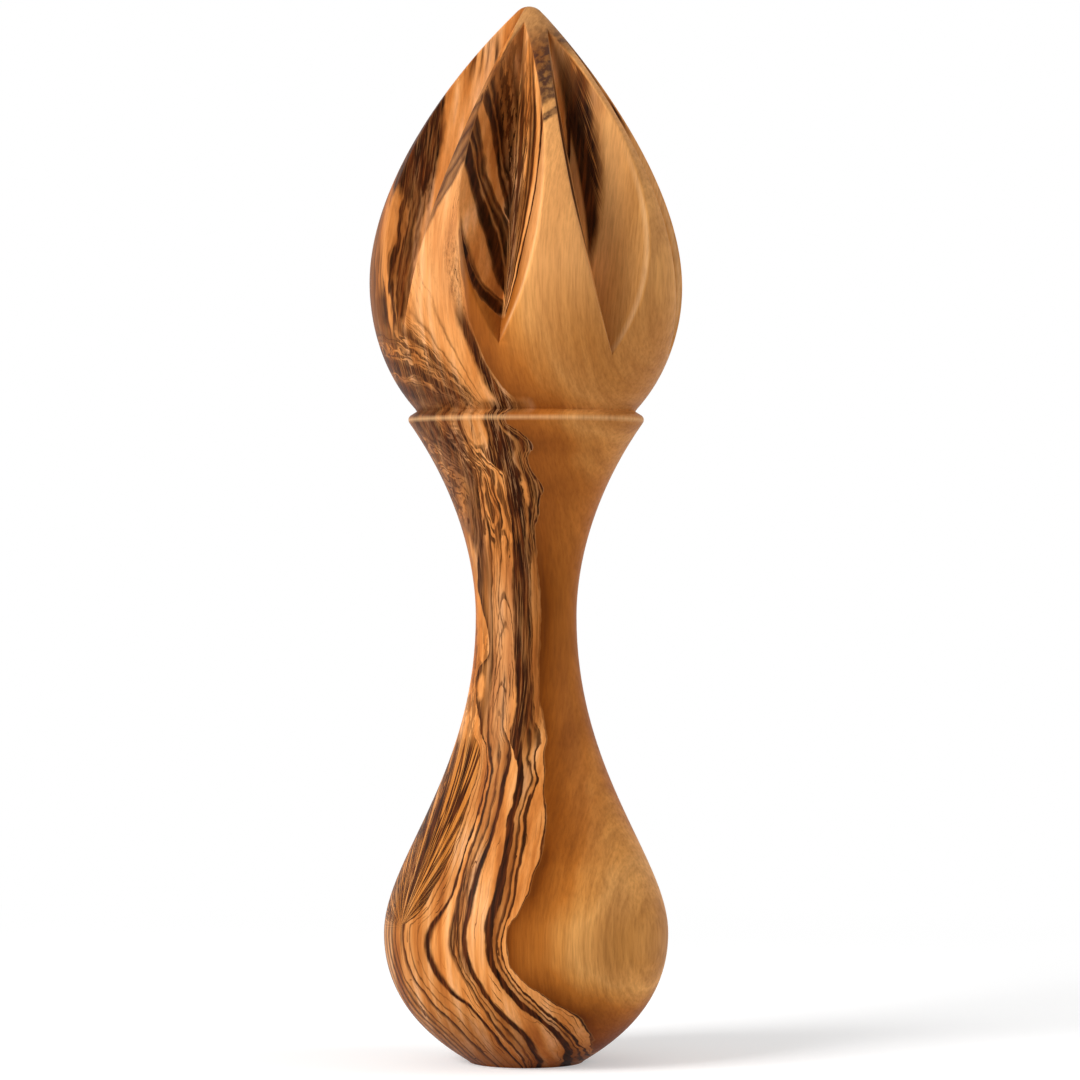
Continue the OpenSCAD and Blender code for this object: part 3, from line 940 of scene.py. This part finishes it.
# %% Lines inside the flutes
inner_paths = [
    {
        107: 5.6, 111: 5.4, 112: 5.7, 114: 6.2, 117: 6.9, 120: 7.4, 124: 8.0, 128: 8.6, 132: 9.0, 136: 9.0,
        139: 8.8, 141: 8.8, 143: 9.8, 145: 12, 160: 12,
    },
    {
        107: 5.5, 112: 5.4, 114: 5.9, 117: 6.5, 120: 6.9, 124: 7.5, 128: 8.1, 132: 8.5, 136: 8.4, 141: 7.9,
        148: 6, 160: 3,
    },
    {
        107: 5.4, 112: 5.1, 116: 4.9, 120: 4.7, 124: 4.5, 128: 4.2, 132: 3.9, 136: 3.5, 140: 3.1, 144: 2.7,
        150: 1.9, 156: 1,
    },
    {
        112: 5.05, 120: 4.45, 126: 3.0, 128: 2.3, 130: 2.0, 132: 1.6, 134: 1.1, 136: 0.7, 138: 0.3, 140: 0,
        142: -0.4, 160: -4,
    },
    {
        112: 5.0, 120: 4.4, 126: 2.9, 128: 2.1, 129: 1.7, 130: 1.4, 132: 0.8, 134: 0.2, 136: -0.1,
        138: -0.5, 142: -1.2, 160: -5,
    },
    {
        112: 4.95, 114.5: 4.8, 116: 3.9, 118: 3.1, 120: 2.5, 122: 1.9, 124: 1.4, 126: 0.8, 128: 0.3,
        130: -0.2, 134: -1.2, 160: -6,
    },
    {
        112: 4.9, 114: 4.6, 115: 3.8, 116: 3.0, 118: 1.95, 120: 1.2, 122: 0.65, 124: 0.1, 126: -0.5,
        127.5: -0.9, 130: -1.7, 160: -7,
    },
    {
        111: 5.1, 112: 4.5, 113: 3.7, 114: 3.0, 116: 1.9, 118: 1.1, 120: 0.4, 122: 0, 124: -0.4, 126: -0.8,
        128: -1.4, 130: -2.3, 160: -8,
    },
    {
        106: 12, 116: 13.4, 120: 14.0, 124: 14.5, 128: 14.8, 132: 14.6, 136: 14.2, 140: 13.4, 145: 12.3,
        150: 11, 156: 8,
    },
]
inner_lines = in_threes(inner_paths)
# The ninth line is the edge of the plain wood in the third flute
third_edge = inner_lines.pop()
print("lines inside the first flute:", len(inner_lines))

# %% Inside the first flute
inner_place = add("Math ADD", across, wobble((1.2, 1.2, 5), 0.28, (6, 5, 7)))
inner_place = add("Math MULTIPLY_ADD", carved, -0.07, inner_place)
inner_count = count_between(inner_place, inner_lines)
inner_veins = shades(inner_count, [
    (0.0, 1.0), (0.7, 0.95), (0.85, 0.6), (1.0, 0.3), (1.05, 0.1), (1.15, 0.1), (1.2, 0.8), (1.3, 1.0),
    (1.4, 0.5), (1.48, 0.95), (1.55, 0.6), (1.62, 0.2), (1.7, 0.25), (1.76, 0.85), (1.82, 0.4), (1.9, 0.9),
    (2.05, 0.95), (2.2, 0.45), (2.35, 0.85), (2.45, 0.3), (2.55, 0.75), (2.65, 0.45), (2.78, 1.0),
    (2.84, 0.45), (2.9, 1.0), (2.98, 0.8), (3.12, 0.15), (3.3, 0.0), (3.85, 0.0), (3.97, 0.6), (4.1, 0.85),
    (4.25, 0.6), (4.38, 0.95), (4.5, 0.45), (4.6, 0.9), (4.85, 0.95), (4.97, 0.75), (5.05, 0.35),
    (5.2, 0.05), (5.85, 0.0), (5.95, 0.5), (6.1, 0.75), (6.2, 0.6), (6.4, 1.0), (6.8, 0.9), (7.0, 0.5),
])
slanting = add("Math MULTIPLY_ADD", height, 0.45, across)
fine_inner = add("MapRange", grain((0.3, 1.2, 16), 3.0, (1, 2, 7), 0.6), 0.44, 0.56, 0.1, 1.0)
fine_inner = add("Math MULTIPLY", fine_inner, shades(inner_count, [
    (1.0, 0.0), (1.3, 0.6), (1.8, 0.9), (2.8, 0.9), (2.95, 0.0),
]))
inner_veins = add("Math MAXIMUM", inner_veins, fine_inner)
deep = add("Math MULTIPLY", between(115, 133, 2.5), shades(inner_count, [
    (1.2, 0.0), (1.35, 0.6), (2.93, 0.75), (3.0, 0.0),
]))
inner_veins = add("Math MAXIMUM", inner_veins, deep)
first_figured = add("MapRange", inner_count, 7.0, 6.95, 0.0, 1.0)
first_figured = add("Math MULTIPLY", add("MapRange", inner_count, 0.0, 0.1, 0.0, 1.0), first_figured)
first_figured = add("Math MULTIPLY", first_figured, add("MapRange", height, 111.6, 112.6, 0.0, 1.0))
tell("Inside the first flute")

# %% [markdown]
# Inside the third flute
# The flute at the right is dark near the rib and plain beyond. Its veins come from one stretched
# noise, because there is no single line that the eye would know, and the dark part narrows to a
# streak along the rib.

# %% Inside the third flute
third_place = add("VectorMath MULTIPLY", add("CombineXYZ", slanting, depth, height), (1, 0.15, 0.035))
third_veins = shades(add("TexNoise", third_place, 1.0, 2.0, 0.55), [
    (0.3, 0.95), (0.42, 0.95), (0.44, 0.5), (0.46, 0.85), (0.5, 1.0), (0.53, 0.9), (0.55, 0.4),
    (0.58, 0.35), (0.6, 0.85), (0.64, 0.9), (0.66, 0.4), (0.7, 0.4),
])
beyond_rib = add("Math SUBTRACT", across, rib_middle)
beside_rib = add("Math ADD", beyond_rib, wobble((0.8, 3, 6), 0.8, (3, 9, 9)))
third_veins = add("Math MAXIMUM", third_veins, add("MapRange", beside_rib, 3.4, 1.8, 0.0, 0.9))
third_past = add("Math SUBTRACT", layer, third_edge)
third_figured = add("MapRange", third_past, 0.8, -1.0, 0.0, 1.0)
is_third = add("MapRange", beyond_rib, -0.3, 0.3, 0.0, 1.0)
inner_veins = add("Mix", is_third, inner_veins, third_veins)
inner_figured = add("Mix", is_third, first_figured, third_figured)
inner_mask = add("Math MULTIPLY", add("MapRange", carved, 0.12, 0.4, 0.0, 1.0), between(106, PAST_TIP, 1.0))
inner_veins = add("Math MULTIPLY", inner_veins, add("MapRange", height, 143.0, 156.0, 1.0, 0.5))
dark = add("Mix", inner_mask, dark, inner_veins)
figured = add("Mix", inner_mask, figured, inner_figured)
figured = add("Math MAXIMUM", figured, left_mask)
dark = add("Mix", left_mask, dark, left_dark)
dark = add("Math MULTIPLY", dark, figured)
dark = add("MapRange", dark, 0.0, 1.0, 0.0, 1.0, interpolation_type="SMOOTHSTEP")
pale_fibres = add("MapRange", grain((0.22, 2.0, 9), 3.0, (9, 9, 4), 0.6), 0.5, 0.64, 1.0, 0.5)
fibre_zone = add("Math MULTIPLY", between(49, 109, 4), 0.75)
fibre_zone = add("Math MAXIMUM", fibre_zone, add("Math MULTIPLY", left_mask, 0.4))
dark = add("Math MULTIPLY", dark, add("Mix", fibre_zone, 1.0, pale_fibres))
tell("Inside the third flute")

# %% [markdown]
# Bands that cross the ribs
# Near the tip, greyish bands cross two ribs on a slant. A place that mixes height and distance
# across lays them over, and they are kept to the ribs by taking away the part that lies inside the
# flutes.

# %% Bands that cross the ribs
on_rib = add("Math SUBTRACT", 1.0, inner_mask)
slope = add("Math MULTIPLY_ADD", across, -2.1, height)
slope = add("Math ADD", slope, wobble((2, 4, 4), 1.6, (3, 7, 1), 3.0))
band_b = shades(slope, [
    (134, 0.0), (137, 0.0), (138.0, 0.85), (139.4, 0.6), (140.6, 0.95), (142.2, 0.6), (144, 0.95),
    (146, 0.55), (147.5, 0.9), (149, 0.4), (151, 0.6), (153, 0.0),
])
band_b_zone = add("Math MULTIPLY", on_rib, shades(across, [(-9, 0.0), (-7.5, 0.9), (-0.5, 1.0), (1, 0.0)]))
band_b_zone = add("Math MULTIPLY", band_b_zone, between(124, PAST_TIP, 4))
band_b = add("Math MULTIPLY", band_b, band_b_zone)
slant = add("Math MULTIPLY_ADD", across, -1.1, height)
slant = add("Math ADD", slant, wobble((1.5, 3, 1.5), 0.8, (5, 7, 1)))
band_a = shades(slant, [
    (130.9, 0.0), (131.4, 0.9), (132.6, 0.95), (133.1, 0.2), (134.2, 0.1), (134.9, 0.85), (140, 0.95),
    (147, 0.9), (151, 0.6), (156, 0.3),
])
mottle = add("MapRange", grain((0.8, 2, 1.0), 2.0, (5, 7, 5)), 0.4, 0.58, 0.66, 1.0)
band_a_zone = add("Math MULTIPLY", on_rib, add("MapRange", beyond_rib, -4.5, -3.5, 0.0, 1.0))
band_a_zone = add("Math MULTIPLY", band_a_zone, add("MapRange", beyond_rib, 1.5, 3.0, 1.0, 0.0))
band_a_zone = add("Math MULTIPLY", band_a_zone, between(136, PAST_TIP, 1.0))
band_a = add("Math MULTIPLY", add("Math MULTIPLY", band_a, mottle), band_a_zone)
bands = add("Math MAXIMUM", band_a, band_b)
tell("Bands that cross the ribs")

# %% [markdown]
# Colours of the two woods
# Oil brings the figured wood to warm amber, with plain heartwood at the right that goes from brown
# beside the veins to straw. Mixing a dark and a light colour by the figure alone would give flat
# stripes, so each kind of wood first gets its own slow change of tone, and the veins go over it
# last.

# %% Colours of the two woods
amber = shades(grain((2.0, 9, 22), 2.0, (5, 5, 1)), [
    (0.3, "#A55E28"), (0.42, "#C47838"), (0.55, "#D99150"), (0.7, "#EDAD76"),
])
near_flute = add("Math MAXIMUM", third_past, add("Math SUBTRACT", inner_place, inner_lines[0]))
near_flute = add("Math MULTIPLY_ADD", near_flute, 1.3, 1.5)
near_flute = add("Mix", add("MapRange", inner_count, 6.9, 7.0, 0.0, 1.0), near_flute, 3.5)
plain_place = add("Mix", inner_mask, past, near_flute)
plain_place = add("Math ADD", plain_place, wobble((3, 9, 22), 2.2, (4, 3, 7), 3.0))
plain = shades(plain_place, [
    (0, "#5F2D08"), (0.7, "#7A3E0E"), (2.5, "#99561C"), (4.5, "#B56C29"), (7, "#D18D45"), (9, "#E0A058"),
    (11, "#D1924E"), (14, "#C48643"), (18, "#CA8F4E"),
])
streak = add("MapRange", grain((0.8, 7, 40), 3.0, (8, 2, 3), 0.6), 0.35, 0.7, 0.0, 0.42)
pale_head = shades(layer, [(7, 0.0), (9.5, 0.45), (16, 0.45), (20, 0.1)])
pale_head = add("Math MULTIPLY", between(114, PAST_TIP, 6), pale_head)
nose = add("MapRange", height, 152.0, 157.0, 0.0, 0.85)
low_brown = add("Math MULTIPLY", between(78, 113, 6), 0.36)
for amount, tint in ((streak, "#743D10"), (pale_head, "#E4A468"), (nose, "#D69A5C"), (low_brown, "#A55F28")):
    plain = add("Mix", amount, plain, tint, data_type="RGBA")
wood = add("Mix", figured, plain, amber, data_type="RGBA")
tell("Colours of the two woods")

# %% [markdown]
# Washes over the wood
# No block is the same all through: this one is greyer under the collar, browner at the left, and
# milky on one rib. The foot gets a painted shade, a darker brown towards the bottom. Separate
# materials would meet at hard edges. A thin wash with soft ends, one for each place, changes the
# tone and lets the wood below show through.

# %% Washes over the wood
grey_zone = add("Math MULTIPLY", between(74, 103, 4), shades(layer, [
    (-8, 1.0), (-3.5, 0.9), (-2, 0.2), (0, 0.0),
]))
grey = add("MapRange", grain((2, 5, 4), 3.0, (5, 1, 1)), 0.4, 0.6, 0.35, 0.95)
grey = add("Math MULTIPLY", grey_zone, grey)
left_brown = add("Math MULTIPLY", between(101, 138, 5), shades(across, [
    (-22, 0.85), (-18, 0.75), (-13, 0.15), (-8, 0.0),
]))
neck_wash = add("Math MULTIPLY", between(50, 74, 4), shades(layer, [
    (-3.2, 0.0), (-2.2, 0.35), (1.3, 0.35), (2.2, 0.0),
]))
fan_wash = add("Math MULTIPLY", fan_mask, 0.6)
rib_wash = add("Math MULTIPLY", between(110, 146, 6), shades(across, [
    (-10, 0.0), (-8, 0.3), (0, 0.3), (1.5, 0.0),
]))
rib_wash = add("Math MULTIPLY", rib_wash, on_rib)
# Painted shade: darker brown towards the bottom of the foot
foot_painted_shade = add("MapRange", height, -1.0, 9.0, 0.8, 0.0)
washes = [
    (grey, "#85583A"), (left_brown, "#9A5A26"), (neck_wash, "#A0714E"), (fan_wash, "#B4702A"),
    (rib_wash, "#BD8B5E"), (foot_painted_shade, "#8A3F0C"),
]
for amount, tint in washes:
    wood = add("Mix", amount, wood, tint, data_type="RGBA")
tell("Washes over the wood")

# %% [markdown]
# Veins, painted edge highlights and fibres
# The veins and the bands come last, over every other tone. The rims of the flutes and the lip of
# the collar get a painted highlight, a paler colour where their eased edges catch the light. The
# fine fibres are about a quarter of a millimetre wide; real ones are finer, but would be lost in a
# picture.

# %% Veins, painted edge highlights and fibres
vein = shades(grain((0.5, 4, 8), 3.0, (4, 4, 4), 0.6), [
    (0.3, "#602D0E"), (0.46, "#3A1908"), (0.6, "#200D04"), (0.7, "#130602"),
])
# Painted highlight: a paler colour along the eased rims of the flutes and on the collar's lip
flute_rim_highlight = add("MapRange", carved, 0.1, 0.4, 0.0, 1.0)
flute_rim_highlight = add("Math MULTIPLY", flute_rim_highlight, add("MapRange", carved, 0.5, 1.1, 1.0, 0.0))
rim_zone = add("Math MULTIPLY", between(106, 134, 6), add("MapRange", across, 5.0, 7.0, 0.0, 1.0))
flute_rim_highlight = add("Math MULTIPLY", flute_rim_highlight, rim_zone)
collar_lip_highlight = add("Math MULTIPLY", between(97.0, 97.5, 0.25), 0.4)
edge_highlight = add("Math MAXIMUM", add("Math MULTIPLY", flute_rim_highlight, 0.42), collar_lip_highlight)
fibres = grain((0.25, 0.8, 4.5), 3.0, (6, 1, 1), 0.6)
fibre_lines = add("MapRange", fibres, 0.4, 0.75, 0.0, 0.3)
for amount, tint in ((dark, vein), (bands, "#38231F"), (edge_highlight, "#EFBE88"), (fibre_lines, "#4A220A")):
    wood = add("Mix", amount, wood, tint, data_type="RGBA")
tell("Veins, wear and fibres")

# %% [markdown]
# Satin
# The wood is oiled and rubbed, not varnished, so it has a soft sheen and no mirror. A clear coat
# would be wrong here. The fibres make the sheen uneven: roughness goes from 0.38 to 0.48, and a
# bump of four hundredths of a millimetre lets the light catch on them. The IOR keeps Blender's
# usual 1.5, which suits wood and oil, and the specular level is low because oil sinks in and
# leaves open pores.

# %% Satin
finish = add("BsdfPrincipled", wood).node
tree.links.new(add("MapRange", fibres, 0.3, 0.7, 0.38, 0.48), finish.inputs["Roughness"])
tree.links.new(add("Bump", 0.3, 0.04 * MM, None, fibres), finish.inputs["Normal"])
finish.inputs["Specular IOR Level"].default_value = 0.03
add("OutputMaterial", finish.outputs[0])

reamer.data.materials.clear()
reamer.data.materials.append(olive_wood)
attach(reamer, "root")
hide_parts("reamer")
print("Olive wood:", len(tree.nodes), "nodes and", len(tree.links), "links")

# %% [markdown]
# Camera
# The photograph was taken level with the middle of the reamer, from about two thirds of a metre
# away, a little to one side of a flute. A short lens close by would make the head swell towards the
# viewer. A long lens from that distance keeps the upright lines straight, so it is used here.

# %% Place the camera
CAMERA_DISTANCE = 667.0
CAMERA_H = 79.1
# The reamer stands a little left of the middle of the picture
CAMERA_ASIDE = 2.1
toward_camera = Vector((math.sin(VIEW_TURN), -math.cos(VIEW_TURN), 0))
rightwards = Vector((view_right.x, view_right.y, 0))
camera_place = toward_camera * CAMERA_DISTANCE + rightwards * CAMERA_ASIDE + Vector((0, 0, CAMERA_H))
clear_selection()
bpy.ops.object.camera_add(location=camera_place * MM, rotation=(math.pi / 2, 0, VIEW_TURN))
camera = bpy.context.object
camera.data.lens = 146.6
camera.data.sensor_width = 36
bpy.context.scene.camera = camera
print("camera at", [round(v, 3) for v in camera.location])

# %% [markdown]
# Soft light
# Turned wood shows its roundness when one broad light comes from the side. A large soft box stands
# to the left and above, a wide weak one fills the right, and a small one low on the left gives the
# spark of light that satin wood has on its widest part. Hard lamps would burn out the polish.

# %% Three soft boxes
scene = bpy.context.scene
scene.view_settings.view_transform = "Standard"


def soft_box(name, turn, rise, distance, width, power):
    """A square soft box that looks at the middle of the reamer; turn is from the camera, to the right."""
    angle, lift = VIEW_TURN + math.radians(turn), math.radians(rise)
    way = Vector((math.sin(angle) * math.cos(lift), -math.cos(angle) * math.cos(lift), math.sin(lift)))
    clear_selection()
    middle = Vector((0, 0, CAMERA_H))
    bpy.ops.object.light_add(
        type="AREA", location=(middle + way * distance) * MM, rotation=way.to_track_quat("Z", "Y").to_euler()
    )
    light = bpy.context.object
    light.name = name
    light.data.size = width * MM
    light.data.energy = power
    print(name, "gives", power, "W from", width, "mm")


soft_box("key_box", -52, 28, 900, 420, 8.6)
soft_box("spark_box", -52, -3, 900, 60, 1.2)
soft_box("fill_box", 84, 25, 900, 600, 3.2)

# %% [markdown]
# White all round
# The picture has a white ground. More light would bleach the wood, so the world stays dim for the
# wood and is white only for rays that come from the camera or from a mirror or a glass.

# %% The studio walls
# Strength of the walls as light on the wood, where 1 would be white
WALL_LIGHT = 0.42


def seen_white():
    """1 for rays that come from the camera, a mirror or a glass, and 0 for all others."""
    ray = add("LightPath").node.outputs
    seen = add("Math MAXIMUM", ray["Is Camera Ray"], ray["Is Glossy Ray"])
    return add("Math MAXIMUM", seen, ray["Is Transmission Ray"])


world = bpy.data.worlds.new("white_studio")
scene.world = world
world.use_nodes = True
tree = world.node_tree
tree.nodes.clear()
seen = seen_white()
dim_walls = add("Background", "#FFFFFF", WALL_LIGHT)
white_walls = add("Background", "#FFFFFF", 1.0)
add("OutputWorld", add("MixShader", seen, dim_walls, white_walls))
print("walls give", WALL_LIGHT, "of white as light")

# %% [markdown]
# Floor
# A large sheet of white paper carries the reamer and its soft shadow. Lit paper looks pale grey, so
# it also glows a little for the camera, just enough to meet the white of the walls.

# %% A round sheet of paper
clear_selection()
bpy.ops.mesh.primitive_circle_add(vertices=128, radius=1.2, fill_type="NGON", location=(0, 0, 0))
floor = bpy.context.object
floor.name = "paper_floor"
paper = bpy.data.materials.new("matt_white_paper")
paper.use_nodes = True
tree = paper.node_tree
tree.nodes.clear()
seen = seen_white()
matt = add("BsdfDiffuse", "#E4E4E4")
glow = add("Emission", "#FFFFFF", add("Math MULTIPLY", seen, 0.3))
lit = add("AddShader", matt, glow)
middle_distance = add("VectorMath LENGTH", add("TexCoord").node.outputs["Object"]).node.outputs["Value"]
away = add("MapRange", middle_distance, 0.06, 0.30, 0.0, 1.0, interpolation_type="SMOOTHSTEP")
far = add("MixShader", add("Math MULTIPLY", away, seen), lit, add("Emission", "#FFFFFF", 1.0))
add("OutputMaterial", far)
floor.data.materials.append(paper)
print("floor", round(floor.dimensions.x, 2), "m across")
